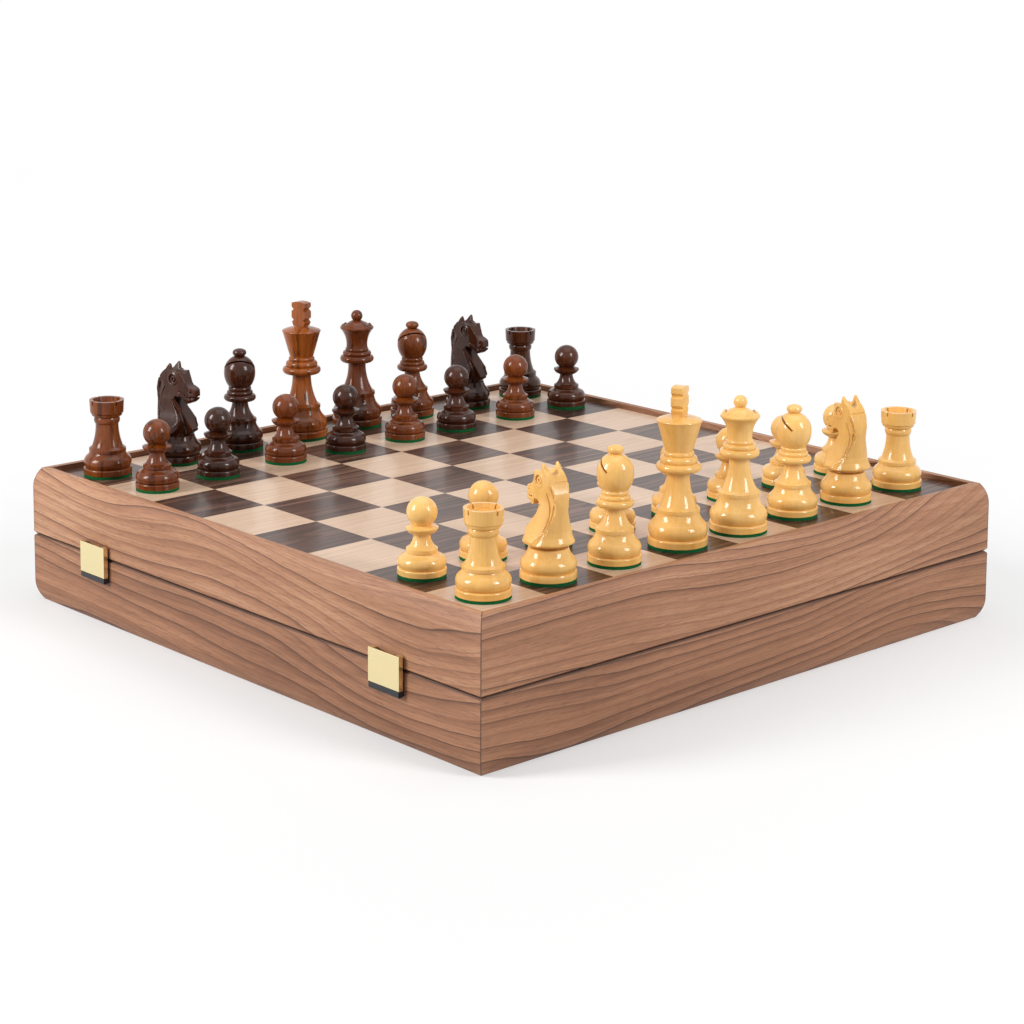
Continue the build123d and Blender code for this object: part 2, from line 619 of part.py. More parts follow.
def make_knight():
    """Horse's head facing +X on a turned foot."""
    foot_top = 18.4
    radius = 14.8
    neck = 10.4
    bust_radius = 13.6
    with BuildPart() as man:
        # The horse: his side view, cut down to his front view.
        with BuildSketch(Plane.XZ):
            with BuildLine():
                Polyline((-10.2, foot_top), (-12.9, 20.0))
                ThreePointArc((-12.9, 20.0), (-13.3, 32.0), (-12.6, 43.5))
                ThreePointArc((-12.6, 43.5), (-9.7, 51.9), (-4.2, 57.9))
                Polyline((-4.2, 57.9), (-1.2, 61.5), (0.8, 57.1), (2.4, 56.3), (5.9, 56.6))
                ThreePointArc((5.9, 56.6), (9.6, 50.6), (15.2, 46.9))
                Polyline((15.2, 46.9), (15.9, 45.8), (16.0, 41.8))
                ThreePointArc((16.0, 41.8), (14.2, 38.9), (10.8, 37.5))
                Polyline((10.8, 37.5), (8.2, 40.2), (3.4, 41.6), (1.7, 40.6), (2.7, 38.8))
                Polyline((2.7, 38.8), (13.7, 22.0), (13.2, 20.4), (10.2, foot_top), (-10.2, foot_top))
            make_face()
        extrude(amount=14, both=True)
        with BuildSketch(Plane.YZ):
            with BuildLine():
                right = Polyline((0, foot_top), (9.6, foot_top), (12.6, 20.0), (13.2, 21.6))
                ThreePointArc(right @ 1, (7.7, 28.7), (5.4, 37.6))
                ThreePointArc((5.4, 37.6), (4.9, 46.4), (5.3, 55.5))
                Polyline((5.3, 55.5), (4.9, 59.8), (4.0, 61.7), (3.1, 60.2), (1.7, 56.9), (0, 55.6))
                mirror(about=Plane.YZ)
            make_face()
        extrude(amount=20, both=True, mode=Mode.INTERSECT)
        # The bust is trimmed round, and the back as well over its whole height.
        for height, keeps_front in ((29.0, False), (62.0, True)):
            with BuildSketch(Plane.XY.offset(foot_top)):
                Circle(30)
                Circle(bust_radius, mode=Mode.SUBTRACT)
                if keeps_front:
                    with Locations((15, 0)):
                        Rectangle(30, 60, mode=Mode.SUBTRACT)
            extrude(amount=height - foot_top, mode=Mode.SUBTRACT)
        # The chest is a wedge, and the cheeks thin down to the muzzle.
        add(chest_cut(foot_top), mode=Mode.SUBTRACT)
        add(mirror(chest_cut(foot_top), about=Plane.XZ), mode=Mode.SUBTRACT)
        for side in (-1, 1):
            outline = [(4.6, 5.8), (8.4, 3.9), (15.2, 3.1), (18.0, 2.2), (18.0, 12.0), (4.6, 12.0)]
            with BuildSketch(Plane.XY.offset(37.0)):
                with BuildLine():
                    Polyline(*((x, side * y) for x, y in outline), close=True)
                make_face()
            extrude(amount=22.0, mode=Mode.SUBTRACT)
        with BuildSketch(Plane.XZ):
            with BuildLine():
                turned_bulb(radius, (neck, foot_top - 1.2))
                Polyline((neck, foot_top - 1.2), (neck, foot_top), (0, foot_top), (0, FELT))
            make_face()
        revolve(axis=Axis.Z)
        add(felt_pad(radius))
    return man.part


MAKERS = {
    "pawn": make_pawn(),
    "rook": make_rook(),
    "knight": make_knight(),
    "bishop": make_bishop(),
    "queen": make_queen(),
    "king": make_king(),
}


def man_name(colour, kind, row):
    """Front is nearer the latches; the king and the queen stand alone."""
    if kind in ("king", "queen"):
        return f"{colour}_{kind}"
    return f"{colour}_{kind}_{'front' if row < FILES / 2 else 'back'}"


for colour, side in {"white": WHITE_SIDE, "black": BLACK_SIDE}.items():
    back_column = 7 if side > 0 else 0
    facing = 180 if side > 0 else 0
    men = {man_name(colour, kind, row): (kind, back_column, row) for row, kind in enumerate(BACK_RANK)}
    for row in range(FILES):
        men[f"{colour}_pawn_{row + 1}"] = ("pawn", back_column - side, row)
    for name, (kind, column, row) in men.items():
        x, y = square_centre(column, row)
        aside, along, turn = SET_DOWN[name]
        with BuildPart() as man:
            with Locations(Location((x + aside, y + along, BOARD_TOP), (0, 0, facing + turn))):
                add(MAKERS[kind])
        man.part.label = name
        export_step(man.part, f"parts/{name}.step")
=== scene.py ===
# %% [markdown]
# Folding chess case with its men set up on the lid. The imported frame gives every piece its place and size, and this
# lesson gives each of them its finish: veneers, lacquer, brass and felt. The four knights are carved anew here, since
# a horse's head is beyond plain turning.

from math import pi, radians, sqrt

import bpy
from mathutils import Matrix, Vector


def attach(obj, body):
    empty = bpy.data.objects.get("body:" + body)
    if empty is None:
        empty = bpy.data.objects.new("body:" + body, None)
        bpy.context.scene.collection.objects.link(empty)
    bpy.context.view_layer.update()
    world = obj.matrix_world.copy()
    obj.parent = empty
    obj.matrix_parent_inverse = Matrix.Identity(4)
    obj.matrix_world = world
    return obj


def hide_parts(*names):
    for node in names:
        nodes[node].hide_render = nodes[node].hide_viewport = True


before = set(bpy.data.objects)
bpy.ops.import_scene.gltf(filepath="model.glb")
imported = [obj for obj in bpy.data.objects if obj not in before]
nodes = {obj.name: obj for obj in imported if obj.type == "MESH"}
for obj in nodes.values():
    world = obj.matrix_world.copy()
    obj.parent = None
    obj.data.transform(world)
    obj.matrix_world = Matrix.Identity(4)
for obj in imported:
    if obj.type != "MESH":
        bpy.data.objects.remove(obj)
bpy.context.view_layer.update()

# %% [markdown]
# A finish is a small network of shader nodes. To keep its sums readable, a wire carries a value and Python's own
# operators add the Math nodes, so that a grain line can be written as an expression.


# %% Wires
def plug(tree, target, value):
    """Sets a socket, or links a wire to it."""
    if isinstance(value, Wire):
        tree.links.new(value.socket, target)
    elif isinstance(value, (tuple, list)) and len(value) == 3 and target.type == "RGBA":
        target.default_value = (*value, 1.0)
    else:
        target.default_value = value


class Wire:
    """A value on its way through a finish."""

    def __init__(self, finish, socket):
        self.finish = finish
        self.socket = socket

    def maths(self, operation, *values):
        """What a Math node makes of the values."""
        return self.finish.add("ShaderNodeMath", dict(enumerate(values)), operation=operation)

    def __add__(self, other):
        return self.maths("ADD", self, other)

    __radd__ = __add__

    def __mul__(self, other):
        return self.maths("MULTIPLY", self, other)

    __rmul__ = __mul__

    def __sub__(self, other):
        return self.maths("SUBTRACT", self, other)

    def __rsub__(self, other):
        return self.maths("SUBTRACT", other, self)

    def __truediv__(self, other):
        return self.maths("DIVIDE", self, other)

    def __pow__(self, other):
        return self.maths("POWER", self, other)

    def __abs__(self):
        return self.maths("ABSOLUTE", self)

    def __lt__(self, other):
        return self.maths("LESS_THAN", self, other)

    def most(self, other):
        return self.maths("MAXIMUM", self, other)

    def floor(self):
        return self.maths("FLOOR", self)

    def fraction(self):
        return self.maths("FRACT", self)

    def ramp(self, low, high):
        """0 below low and 1 above high, with a soft step between."""
        inputs = {"Value": self, "From Min": low, "From Max": high}
        return self.finish.add("ShaderNodeMapRange", inputs, interpolation_type="SMOOTHSTEP")


# %% [markdown]
# A finish holds one material and its shader. Everything that isn't a sum is added with one method, which takes the
# node's type, its settings and what goes into it. The methods below it are the few nodes that wood, felt and metal
# need: a place on the piece, soft noise, a random number per cell, a mix of two colours, a colour ramp and relief.


# %% Finishes
class Finish:
    """A material that is built up from wires."""

    def __init__(self, name, **shader):
        self.material = bpy.data.materials.new(name)
        self.material.use_nodes = True
        self.tree = self.material.node_tree
        self.shader = self.tree.nodes["Principled BSDF"]
        self.set(**shader)

    def set(self, **sockets):
        """Sets or links the shader's sockets, written with _ for a space."""
        for name, value in sockets.items():
            plug(self.tree, self.shader.inputs[name.replace("_", " ")], value)

    def add(self, kind, inputs=None, output=0, stops=None, **settings):
        """Adds a node with its settings, what goes into it and a ramp's stops, and gives the wire that leaves it."""
        node = self.tree.nodes.new(kind)
        for name, value in settings.items():
            setattr(node, name, value)
        if stops:
            ends = node.color_ramp.elements
            while len(ends) < len(stops):
                ends.new(1.0)
            for end, (place, colour) in zip(ends, stops):
                end.position = place
                end.color = (*colour, 1.0)
        for name, value in (inputs or {}).items():
            plug(self.tree, node.inputs[name], value)
        return Wire(self, node.outputs[output])

    def place(self):
        """The point in the piece, in metres: vector, x, y and z."""
        point = self.add("ShaderNodeTexCoord", output="Object")
        return (point, *(self.add("ShaderNodeSeparateXYZ", {0: point}, output=axis) for axis in "XYZ"))

    def point(self, x, y, z):
        return self.add("ShaderNodeCombineXYZ", {0: x, 1: y, 2: z})

    def noise(self, point, scale=1.0, detail=2.0, rough=0.5, warp=0.0, stretch=(1.0, 1.0, 1.0)):
        """Soft noise from 0 to 1. A small stretch along an axis draws the noise out along it."""
        point = self.add("ShaderNodeMapping", {0: point, "Scale": stretch})
        inputs = {"Vector": point, "Scale": scale, "Detail": detail, "Roughness": rough, "Distortion": warp}
        return self.add("ShaderNodeTexNoise", inputs)

    def chance(self, *cells):
        """One random number from 0 to 1 for each cell."""
        return self.add("ShaderNodeTexWhiteNoise", {0: self.point(*cells)}, noise_dimensions="3D")

    def blend(self, mask, below, above):
        """The colour below where the mask is 0, and the one above where it is 1."""
        inputs = {0: mask, 6: below, 7: above}
        return self.add("ShaderNodeMix", inputs, output=2, data_type="RGBA")

    def shades(self, value, *stops):
        """A colour from a ramp of (value, colour) stops."""
        return self.add("ShaderNodeValToRGB", {0: value}, stops=stops)

    def bump(self, height, strength, depth):
        """Relief of that depth in metres."""
        inputs = {"Height": height, "Strength": strength, "Distance": depth}
        self.set(Normal=self.add("ShaderNodeBump", inputs))


# %% [markdown]
# Colours are written as they look on screen, which is how a maker would match them by eye. Blender mixes light, so
# they are turned into light values first. A finish is then put on its pieces by their names in the frame.


# %% Colours and dressing
def shade(red, green, blue):
    """A colour as it looks on screen, 0 to 255, as the light values that Blender mixes."""
    return tuple(((c / 255 + 0.055) / 1.055) ** 2.4 for c in (red, green, blue))


def dress(finish, *names):
    """Gives pieces one finish all over."""
    for name in names:
        mesh = nodes[name].data if isinstance(name, str) else name.data
        mesh.materials.clear()
        mesh.materials.append(finish.material)
    print(finish.material.name, "on", len(names), "pieces")


print("middle grey is", round(shade(128, 128, 128)[0], 3), "as light")

# %% [markdown]
# The sides are faced with one long leaf of walnut each, cut through both halves, so its flowing grain runs on across
# the seam. Wood grain is the trace of yearly rings: contour lines of a slowly wandering height field, which give the
# long pointed arches of flat-cut veneer. Each ring darkens slowly and ends sharply. Fine fibres and short dark pores
# lie on top, all drawn out along the leaf.

# %% Walnut veneer on the sides
CASE_HEIGHT = 0.081
SEAM = CASE_HEIGHT / 2  # the halves are equally tall
RINGS_PER_METRE = 140.0
RING_DRIFT = 19.0  # how many rings the slow waves move the lines
RING_WANDER = 0.9
THIN_LINES = 3.0  # thin lines to each ring
# Painted shade: the lower half of each side is coloured darker, as less light reaches it near the table.
LOWER_HALF_PAINTED_SHADE = 0.1


def walnut_side(name, leaf, tint):
    """Veneer whose grain runs along x or y; leaf is where the sheet was cut, tint how light it is."""
    finish = Finish(name, IOR=1.45, Coat_Roughness=0.3)
    _, x, y, z = finish.place()
    along, off = (x, abs(y)) if "front" in name or "back" in name else (y, abs(x))
    across = z - off
    sheet = finish.point(along, across + leaf, leaf)
    drift = finish.noise(sheet, 1.0, 1.5, 0.35, stretch=(2.9, 7.0, 1.0))
    wander = finish.noise(sheet, 1.0, 3.0, 0.5, stretch=(11.0, 40.0, 1.0))
    rings = across * RINGS_PER_METRE + drift * RING_DRIFT + wander * RING_WANDER
    ring = rings.fraction()
    strength = finish.chance(rings.floor(), leaf, 0.0)
    late = ring.ramp(0.25, 0.95) * (strength * 0.7 + 0.3)
    line = (ring.ramp(0.87, 0.95) - ring.ramp(0.96, 1.0)) * (strength.ramp(0.25, 0.85) * 0.85 + 0.15)
    thin = (rings * THIN_LINES + wander * 0.6).fraction()
    thin_strength = finish.chance((rings * THIN_LINES).floor(), leaf, 2.0)
    thin_line = (thin.ramp(0.66, 0.9) - thin.ramp(0.93, 1.0)) * thin_strength
    fibre = finish.noise(sheet, 1.0, 4.0, 0.6, stretch=(60.0, 2300.0, 1.0))
    streak = finish.noise(sheet, 1.0, 3.0, 0.55, stretch=(9.0, 260.0, 1.0))
    pores = finish.noise(sheet, 1.0, 2.0, 0.5, stretch=(150.0, 2600.0, 1.0)).ramp(0.55, 0.68)
    cloud = finish.noise(sheet, 1.0, 2.0, 0.5, stretch=(5.0, 16.0, 1.0))
    # The lower half is darkened here as painted shade.
    tone = cloud * 0.42 + streak * 0.36 + fibre * 0.34 - late * 0.2 - 0.04 - (z < SEAM) * LOWER_HALF_PAINTED_SHADE + tint
    colour = finish.shades(
        tone,
        (0.0, shade(78, 46, 32)),
        (0.28, shade(122, 79, 54)),
        (0.55, shade(166, 117, 86)),
        (0.85, shade(208, 161, 126)),
    )
    colour = finish.blend(thin_line * 0.42, colour, shade(92, 57, 40))
    colour = finish.blend(line * 0.8, colour, shade(66, 38, 27))
    colour = finish.blend(pores * 0.42, colour, shade(86, 53, 37))
    # The mitre and the cut edges at the seam show as thin dark lines.
    mitre = 1.0 - abs(abs(x) - abs(y)).ramp(0.0001, 0.0007)
    seam = 1.0 - abs(z - SEAM).ramp(0.0004, 0.0016)
    colour = finish.blend(mitre.most(seam) * 0.8, colour, shade(52, 31, 23))
    finish.set(Base_Color=colour, Roughness=0.5 + fibre * 0.12, Coat_Weight=0.1)
    finish.bump(fibre * 0.4 - pores * 0.8 - line * 0.4, 0.35, 0.0002)
    return finish


LEAVES = {"front": (0.31, 0.09), "right": (1.04, 0.09), "back": (1.77, 0.08), "left": (2.5, 0.06)}
for side, (leaf, tint) in LEAVES.items():
    dress(walnut_side(f"walnut_{side}", leaf, tint), f"upper_{side}_rail", f"lower_{side}_rail")

# %% [markdown]
# The board is 64 squares of veneer, and every square is a separate cut with its own place in the sheet. Dividing the
# point by the side of a square and rounding down gives each square a number, and that number moves the grain and
# tints it a little. All grain runs from the latches to the hinges, as the strips were glued up that way.

# %% Light and dark squares
SQUARE = 0.0475


def square_veneer(name, stops, pore, ring_scale, figure):
    """Lacquered veneer squares whose grain runs along y; figure is how strong it is."""
    finish = Finish(name, IOR=1.5, Coat_Roughness=0.12)
    _, x, y, _ = finish.place()
    column, row = (x / SQUARE).floor(), (y / SQUARE).floor()
    cut, tint = finish.chance(column, row, 1.0), finish.chance(row, column, 7.0)
    sheet = finish.point(y + cut * 3.0, x + tint * 5.0, cut * 11.0)
    drift = finish.noise(sheet, 1.0, 2.0, 0.5, stretch=(4.0, 24.0, 1.0))
    ring = (x * ring_scale + drift * 9.0).fraction()
    late = ring.ramp(0.3, 0.95) - ring.ramp(0.97, 1.0)
    fibre = finish.noise(sheet, 1.0, 4.0, 0.6, stretch=(40.0, 1700.0, 1.0))
    streak = finish.noise(sheet, 1.0, 3.0, 0.6, stretch=(7.0, 420.0, 1.0))
    pores = finish.noise(sheet, 1.0, 2.0, 0.5, stretch=(170.0, 3200.0, 1.0)).ramp(0.60, 0.72)
    tone = (tint - 0.5) * 0.2 + 0.5 + ((streak - 0.5) * 0.9 + (fibre - 0.5) * 0.6 - late * 0.16) * figure
    colour = finish.shades(tone, *stops)
    colour = finish.blend(pores * 0.3, colour, pore)
    finish.set(Base_Color=colour, Roughness=0.34 + fibre * 0.1, Coat_Weight=0.25, Specular_IOR_Level=0.25)
    finish.bump(fibre * 0.3 - pores * 0.5, 0.25, 0.0001)
    return finish


maple = square_veneer(
    "maple_squares",
    ((0.0, shade(182, 148, 120)), (0.5, shade(212, 181, 155)), (1.0, shade(232, 207, 184))),
    pore=shade(158, 122, 92),
    ring_scale=120.0,
    figure=0.7,
)
walnut = square_veneer(
    "walnut_squares",
    ((0.05, shade(28, 16, 11)), (0.45, shade(68, 43, 32)), (0.95, shade(146, 108, 88))),
    pore=shade(34, 22, 17),
    ring_scale=90.0,
    figure=1.2,
)
dress(maple, "light_squares")
dress(walnut, "dark_squares")

# %% [markdown]
# Out of sight are a stained panel under the squares, the same kind of panel for a floor, and felt inside the tray.
# They show when the case is opened, so they get a plain wood and a short wool pile.


# %% Inside panels and lining
def panel_wood():
    finish = Finish("panel_wood", IOR=1.5)
    point, *_ = finish.place()
    fibre = finish.noise(point, 1.0, 4.0, 0.6, stretch=(30.0, 1100.0, 40.0))
    drift = finish.noise(point, 1.0, 2.0, 0.5, stretch=(3.0, 26.0, 3.0))
    colour = finish.shades(
        fibre * 0.5 + drift * 0.5, (0.25, shade(74, 48, 36)), (0.5, shade(112, 76, 56)), (0.8, shade(140, 100, 76))
    )
    finish.set(Base_Color=colour, Roughness=0.55 + fibre * 0.15)
    finish.bump(fibre, 0.3, 0.0001)
    return finish


def green_felt():
    finish = Finish("green_felt", IOR=1.4)
    point, *_ = finish.place()
    pile = finish.noise(point, 2600.0, 3.0, 0.6)
    patch = finish.noise(point, 60.0, 2.0, 0.5)
    colour = finish.shades(
        pile * 0.6 + patch * 0.4, (0.3, shade(12, 52, 30)), (0.5, shade(22, 84, 48)), (0.75, shade(44, 116, 70))
    )
    finish.set(Base_Color=colour, Roughness=0.95)
    finish.bump(pile, 0.6, 0.0003)
    return finish


dress(panel_wood(), "board_panel", "bottom_panel")
dress(green_felt(), "tray_lining")

# %% [markdown]
# The latch covers are bright plated brass pressed over black flaps. A stamped sheet is never a perfect mirror: it has
# very fine brush lines and a slight unevenness, so its roughness and relief vary a little.


# %% Brass and black mouldings
def plated_brass(name, tone, brushed, rough):
    """Bright sheet brass; brushed draws its fine lines out along x."""
    finish = Finish(name, Metallic=1.0)
    point, *_ = finish.place()
    lines = finish.noise(point, 1.0, 3.0, 0.6, stretch=brushed)
    wear = finish.noise(point, 140.0, 3.0, 0.6)
    colour = finish.blend(wear.ramp(0.35, 0.75) * 0.08, tone, tuple(0.85 * c for c in tone))
    finish.set(Base_Color=colour, Roughness=rough + lines * 0.06 + wear.ramp(0.5, 0.8) * 0.04)
    finish.bump(lines * 0.5 + wear * 0.5, 0.02, 0.00002)
    return finish


def black_moulding():
    finish = Finish("black_moulding", IOR=1.5)
    point, *_ = finish.place()
    grain = finish.noise(point, 1800.0, 3.0, 0.6)
    colour = finish.shades(grain, (0.3, shade(16, 17, 20)), (0.8, shade(40, 43, 48)))
    finish.set(Base_Color=colour, Roughness=0.38 + grain * 0.15)
    finish.bump(grain, 0.2, 0.00008)
    return finish


cover_brass = plated_brass("cover_brass", shade(238, 221, 172), brushed=(60.0, 1500.0, 1500.0), rough=0.22)
hinge_brass = plated_brass("hinge_brass", shade(226, 198, 132), brushed=(40.0, 900.0, 900.0), rough=0.3)
dress(cover_brass, "latch_left_cover", "latch_right_cover", "latch_pins")
dress(hinge_brass, "lower_hinge_leaves", "upper_hinge_leaves", "hinge_pins", "lower_hinge_screws", "upper_hinge_screws")
black_parts = [f"latch_{side}_{part}" for side in ("left", "right") for part in ("base", "keeper", "flap")]
dress(black_moulding(), *black_parts)

# %% [markdown]
# Men are turned with the grain upright, dyed or oiled, and lacquered to a gloss. Boxwood is pale gold with hardly any
# figure; rosewood has dark streaks, and its colour differs from man to man. The felt disc is one solid with its man,
# so the finish changes to felt below the disc's top, by height above the board.

# %% Turned woods
BOARD_TOP = 0.078
FELT_TOP = BOARD_TOP + 0.0018
WARP = 0.4


def turned_wood(name, stops, streak_shade, streaks, rough, lacquer):
    """Turned wood on a disc of green felt; streaks and lacquer say how strong those two are."""
    finish = Finish(name, IOR=1.5, Coat_Roughness=0.12, Specular_IOR_Level=0.1)
    point, x, y, z = finish.place()
    column, row = (x / SQUARE).floor(), (y / SQUARE).floor()
    cut, tint = finish.chance(column, row, 3.0), finish.chance(row, column, 5.0)
    block = finish.point(x + cut * 2.0, y + tint * 2.0, z * 0.1 + cut)
    cloud = finish.noise(block, 1.0, 2.0, 0.5, stretch=(70.0, 70.0, 120.0))
    figure = finish.noise(block, 1.0, 3.0, 0.55, warp=WARP, stretch=(260.0, 260.0, 220.0))
    fibre = finish.noise(block, 1.0, 3.0, 0.6, stretch=(1500.0, 1500.0, 700.0))
    tone = cloud * 0.45 + figure * 0.3 + fibre * 0.2 + (tint - 0.5) * 0.16
    colour = finish.shades(tone, *stops)
    colour = finish.blend(figure.ramp(0.52, 0.68) * streaks, colour, streak_shade)
    # Felt below the disc's top.
    felt = z < FELT_TOP
    pile = finish.noise(point, 2600.0, 3.0, 0.6)
    green = finish.shades(pile, (0.3, shade(6, 62, 30)), (0.7, shade(26, 108, 60)))
    colour = finish.blend(felt, colour, green)
    finish.set(
        Base_Color=colour,
        Roughness=(rough + fibre * 0.08).most(felt * 0.95),
        Coat_Weight=lacquer * (1.0 - felt),
    )
    finish.bump(fibre * 0.25 + pile * felt * 3.0, 0.3, 0.0001)
    return finish


boxwood = turned_wood(
    "boxwood",
    ((0.2, shade(208, 150, 70)), (0.5, shade(236, 186, 106)), (0.8, shade(250, 213, 142))),
    shade(200, 138, 58),
    streaks=0.22,
    rough=0.3,
    lacquer=0.7,
)
rosewoods = {
    name: turned_wood(f"rosewood_{name}", stops, dark, streaks=0.75, rough=0.24, lacquer=0.45)
    for name, stops, dark in (
        ("dark", ((0.2, shade(30, 12, 5)), (0.5, shade(66, 30, 13)), (0.8, shade(100, 52, 24))), shade(22, 9, 4)),
        ("red", ((0.2, shade(58, 24, 6)), (0.5, shade(110, 52, 16)), (0.8, shade(152, 84, 34))), shade(36, 14, 5)),
        ("light", ((0.2, shade(98, 44, 8)), (0.5, shade(156, 82, 26)), (0.8, shade(194, 120, 60))), shade(56, 24, 8)),
    )
}
tones = {
    "light": ["black_king"],
    "red": ["black_bishop_back", "black_queen", "black_rook_front"] + [f"black_pawn_{n}" for n in (1, 3, 5, 7)],
}
white_men = [name for name in nodes if name.startswith("white_")]
black_men = [name for name in nodes if name.startswith("black_")]
dress(boxwood, *white_men)
for tone in ("light", "red"):
    dress(rosewoods[tone], *tones[tone])
dress(rosewoods["dark"], *(name for name in black_men if name not in tones["light"] + tones["red"]))

# %% [markdown]
# A knight is the one man that a lathe can't finish: his foot is turned, and the horse above it is sawn and carved. So
# he is made here the way a carver works. A board is sawn to the side view, cut again to the front view, and the chest,
# muzzle, eyes, mane and mouth are then cut with gouges. In Blender each saw cut is a Boolean, and a gouge is a round
# bar along a line. A remesh with a little smoothing at the end takes off the sharp arris, as sandpaper does.


# %% Drawing a line
MM = 0.001


def put_down():
    """Leaves nothing selected."""
    bpy.ops.object.select_all(action="DESELECT")


def draw_line(points):
    """A chain of edges through the points, in millimetres: one point, drawn out from place to place."""
    put_down()
    bpy.ops.mesh.primitive_plane_add(size=MM, location=Vector(points[0]) * MM)
    bpy.ops.object.mode_set(mode="EDIT")
    bpy.ops.mesh.merge(type="CENTER")
    for start, end in zip(points, points[1:]):
        step = (Vector(end) - Vector(start)) * MM
        bpy.ops.mesh.extrude_region_move(TRANSFORM_OT_translate={"value": step})
    bpy.ops.object.mode_set(mode="OBJECT")
    bpy.ops.object.transform_apply(location=True, rotation=False, scale=False)
    return bpy.context.object


# %% [markdown]
# Two tools come from such a line. A closed outline, filled and given a thickness, is a board sawn to shape. An open
# line, made a round bar, is what a gouge takes away on its way along the wood.


# %% A sawn board and a gouge
def sawn_board(outline, thickness):
    """A board sawn to a closed outline of 3-D points, and as thick as that vector, both ways from it."""
    half = Vector(thickness) / 2
    first = [Vector(p) - half for p in outline]
    board = draw_line(first + first[:1])
    bpy.ops.object.mode_set(mode="EDIT")
    bpy.ops.mesh.select_all(action="SELECT")
    bpy.ops.mesh.remove_doubles(threshold=0.01 * MM)
    bpy.ops.mesh.edge_face_add()
    bpy.ops.mesh.extrude_region_move(TRANSFORM_OT_translate={"value": 2 * half * MM})
    bpy.ops.mesh.select_all(action="SELECT")
    bpy.ops.mesh.normals_make_consistent(inside=False)
    bpy.ops.object.mode_set(mode="OBJECT")
    return board


def gouge(points, radius, sides=2):
    """A round bar along a line, for a groove of that radius."""
    bar = draw_line(points)
    bpy.ops.object.convert(target="CURVE")
    bar = bpy.context.object
    bar.data.bevel_depth = radius * MM
    bar.data.bevel_resolution = sides
    bar.data.use_fill_caps = True
    bpy.ops.object.convert(target="MESH")
    bpy.ops.object.mode_set(mode="EDIT")
    bpy.ops.mesh.select_all(action="SELECT")
    bpy.ops.mesh.remove_doubles(threshold=0.005 * MM)
    bpy.ops.mesh.normals_make_consistent(inside=False)
    bpy.ops.object.mode_set(mode="OBJECT")
    return bpy.context.object


# %% [markdown]
# A cut is a Boolean of the piece with its tool. Exact cuts leave points that nearly meet, and a later remesh would
# fall through such a crack, so they are welded after every cut.


# %% Cutting
def work(piece, tool, operation="DIFFERENCE"):
    """Cuts the tool out of the piece, joins it on, or keeps what both share."""
    cut = piece.modifiers.new("cut", "BOOLEAN")
    cut.operation, cut.solver, cut.object = operation, "EXACT", tool
    put_down()
    bpy.context.view_layer.objects.active = piece
    bpy.ops.object.modifier_apply(modifier=cut.name)
    bpy.data.objects.remove(tool)
    # Points that almost meet are welded, so that the block stays closed.
    piece.select_set(True)
    bpy.ops.object.mode_set(mode="EDIT")
    bpy.ops.mesh.select_all(action="SELECT")
    bpy.ops.mesh.remove_doubles(threshold=0.003 * MM)
    bpy.ops.object.mode_set(mode="OBJECT")


# %% [markdown]
# The lathe turns half an outline full circle. Its curves are given by a few measured points, and the smooth line
# through them is worked out between each two, as a maker draws a curve with a thin bent lath.


# %% Lathe and smooth lines
SPIN_STEPS = 96


def spun(outline):
    """Half an outline of (radius, z) turned full circle round z, as on a lathe."""
    turned = draw_line([(r, 0, z) for r, z in outline])
    bpy.ops.object.mode_set(mode="EDIT")
    bpy.ops.mesh.select_all(action="SELECT")
    bpy.ops.mesh.spin(steps=SPIN_STEPS, angle=2 * pi, center=(0, 0, 0), axis=(0, 0, 1))
    bpy.ops.mesh.select_all(action="SELECT")
    bpy.ops.mesh.remove_doubles(threshold=0.01 * MM)
    bpy.ops.mesh.normals_make_consistent(inside=False)
    bpy.ops.object.mode_set(mode="OBJECT")
    return turned


def eased(points, steps=4):
    """The points of a smooth line through the given ones."""
    line = [points[0]]
    padded = [points[0], *points, points[-1]]
    for p0, p1, p2, p3 in zip(padded, padded[1:], padded[2:], padded[3:]):
        for step in range(1, steps + 1):
            t = step / steps
            line.append(
                tuple(
                    0.5 * (2 * b + (c - a) * t + (2 * a - 5 * b + 4 * c - d) * t**2 + (3 * b - a - 3 * c + d) * t**3)
                    for a, b, c, d in zip(p0, p1, p2, p3)
                )
            )
    return line


# %% [markdown]
# The side view starts at the bust's rim, goes up the back to the ears, down the nose to the lips and back under the
# jaw. The front view is half of the horse's width at each height, and the saw follows it on both sides.

# %% Side and front views of the horse
BACK = [(-13.5, 22.4), (-13.0, 26.0), (-13.1, 32.0), (-13.1, 38.0), (-12.6, 43.5), (-11.3, 48.5), (-9.0, 53.0)]
BACK += [(-6.4, 56.2), (-4.2, 57.9)]
NOSE = [(5.9, 56.6), (8.8, 52.2), (9.7, 50.2), (11.4, 48.6), (15.2, 46.9)]
LIPS = [(16.2, 46.3), (16.3, 41.8), (14.9, 39.6), (12.8, 38.1), (10.8, 37.5), (9.2, 38.3), (8.2, 40.2)]
SIDE_VIEW = [(-10.2, 18.6), (-12.9, 20.0)] + eased(BACK) + [(-2.8, 60.0), (-1.4, 61.6), (-0.6, 61.2), (-0.2, 57.6)]
SIDE_VIEW += [(2.0, 56.4)] + eased(NOSE, 3) + eased(LIPS, 3)
SIDE_VIEW += [(6.6, 41.6), (3.4, 41.8), (1.7, 40.6), (2.7, 38.8), (14.7, 21.9), (14.2, 20.8), (10.4, 18.6)]
FLARE = [(13.2, 21.8), (10.4, 24.6), (8.0, 28.2), (6.4, 32.6), (5.4, 37.6), (5.0, 43.0), (5.3, 49.0), (5.3, 55.5)]
FRONT_VIEW = [(10.2, 18.6), (12.8, 20.0)] + eased(FLARE, 3)
FRONT_VIEW += [(5.1, 59.6), (4.6, 61.5), (3.9, 61.6), (3.0, 59.0), (1.9, 56.0), (0.0, 55.2)]
